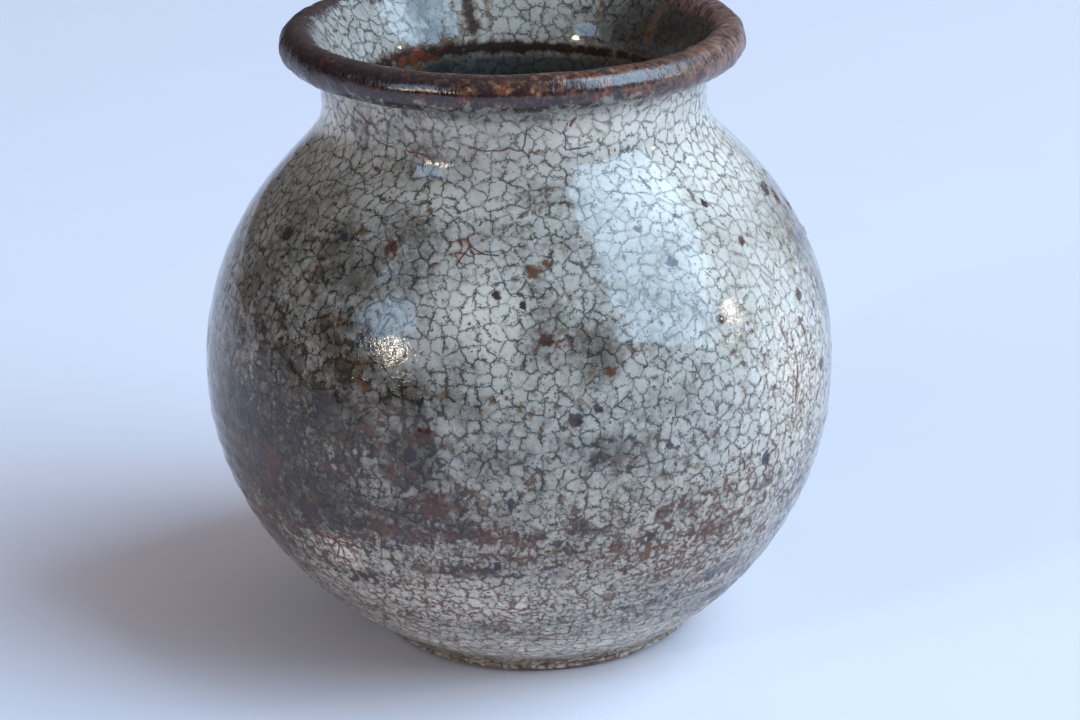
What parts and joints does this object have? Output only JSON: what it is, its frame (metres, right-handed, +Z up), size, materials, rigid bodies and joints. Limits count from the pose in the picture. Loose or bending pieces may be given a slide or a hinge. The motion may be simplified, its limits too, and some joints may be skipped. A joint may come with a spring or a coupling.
{
  "type": "sake bottle",
  "caption": "Round wide-mouthed stoneware sake vessel with a short waisted neck, rolled flaring lip and low foot ring, in crackled pale glaze with a brown lip.",
  "frame": {"origin": "centre of the foot's resting face, on the surface that the vessel stands on", "axes": "+Z up along the vessel's turning axis; -Y is the side facing the viewer; the solids are round about +Z"},
  "size_m": [0.0998, 0.0998, 0.0991],
  "materials": {
    "stoneware_clay": "unglazed, matt, gritty",
    "crackle_glaze": "glossy grey-white crackle with rust and purple-brown stains",
    "lining_glaze": "glossy grey-white crackle",
    "iron_glaze": "glossy mottled iron brown"
  },
  "bodies": {
    "root": {"foot_ring": "stoneware_clay", "thrown_body": "stoneware_clay", "neck_collar": "stoneware_clay", "rolled_lip": "stoneware_clay", "outer_glaze": "crackle_glaze", "lining_glaze": "lining_glaze", "lip_glaze": "iron_glaze"}
  },
  "joints": []
}
